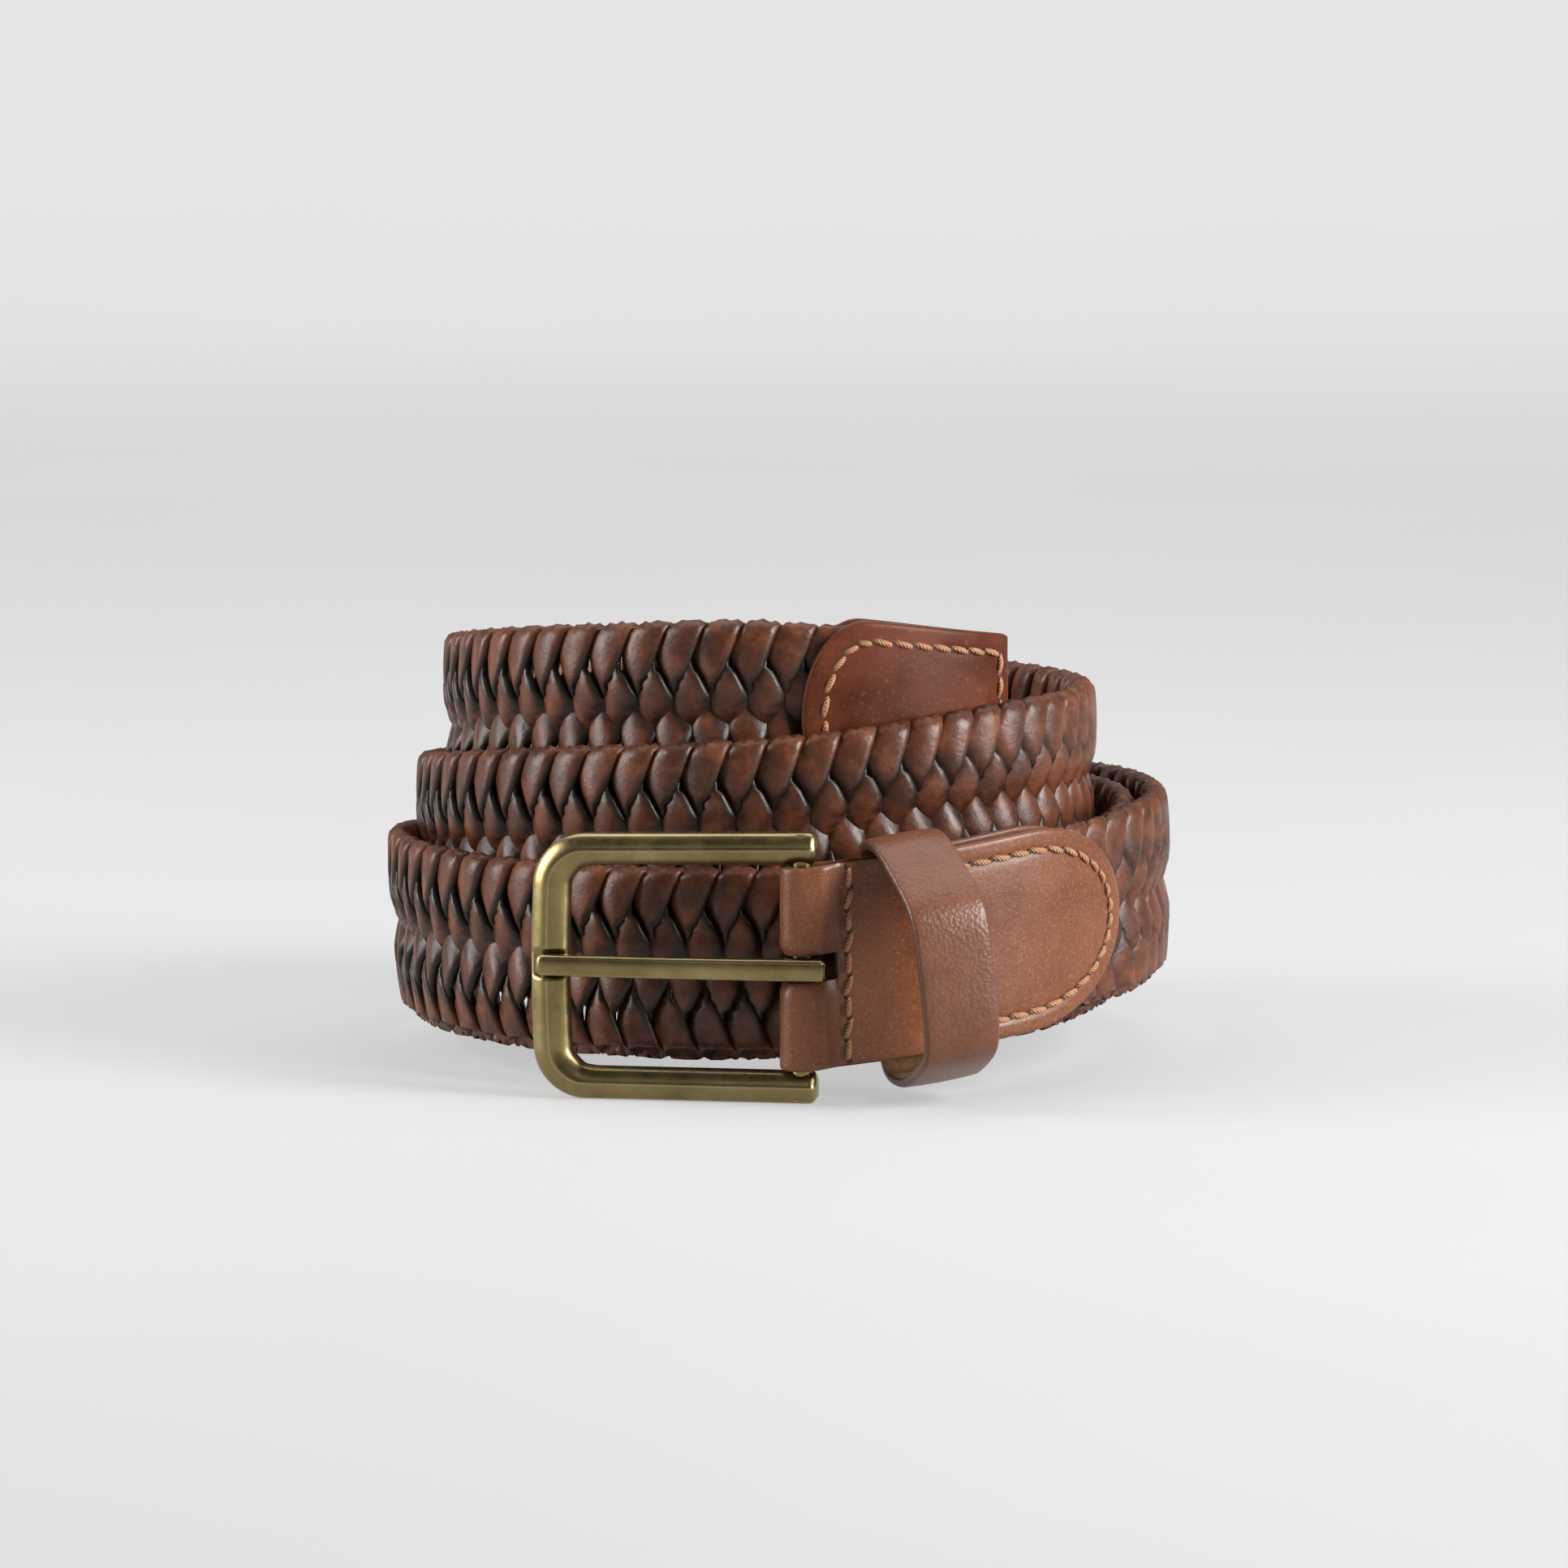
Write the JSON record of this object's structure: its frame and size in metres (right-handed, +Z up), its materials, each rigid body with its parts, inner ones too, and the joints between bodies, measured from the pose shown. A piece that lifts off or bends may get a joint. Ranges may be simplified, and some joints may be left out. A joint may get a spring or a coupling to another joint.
{
  "type": "belt",
  "caption": "Braided leather belt rolled into a rising coil, with leather tabs, a framed prong buckle and a sliding keeper loop.",
  "frame": {"origin": "middle of the object's footprint, on the surface it stands on", "axes": "+Z up along the coil's axis, the buckle faces -Y, +X to the right of the buckle"},
  "size_m": [0.1349, 0.1483, 0.0784],
  "materials": {
    "aged_brass": "antique, worn bright on the edges",
    "tab_leather": "smooth, semi-gloss",
    "keeper_leather": "fine grained, semi-gloss",
    "braid_leather": "waxed, darker in the gaps",
    "waxed_thread": "twisted and waxed",
    "staple_steel": "plain"
  },
  "bodies": {
    "strap": {"braided_strap": "braid_leather", "buckle_tab": "tab_leather", "tab_stitches": "waxed_thread", "cross_stitches": "waxed_thread", "tip_tab_front": "tab_leather", "tip_tab_back": "tab_leather", "tip_stitches": "waxed_thread"},
    "buckle": {"buckle_frame": "aged_brass", "heel_pin": "aged_brass"},
    "prong": {"prong": "aged_brass"},
    "keeper": {"keeper_loop": "keeper_leather", "keeper_staple": "staple_steel"}
  },
  "joints": [
    {"name": "buckle_hinge", "type": "hinge", "parent": "strap", "child": "buckle", "pos_m": [0.00363, -0.059, 0.0225], "axis": [0, 0, 1], "range_deg": [-6, 55]},
    {"name": "prong_hinge", "type": "hinge", "parent": "buckle", "child": "prong", "pos_m": [0.00363, -0.059, 0.0225], "axis": [0, 0, 1], "range_deg": [0, 70]},
    {"name": "keeper_slide", "type": "hinge", "parent": "strap", "child": "keeper", "pos_m": [-0.00081, 0.00648, 0.02554], "axis": [-0.1038, -0.0548, 0.9931], "range_deg": [-2, 6]}
  ]
}
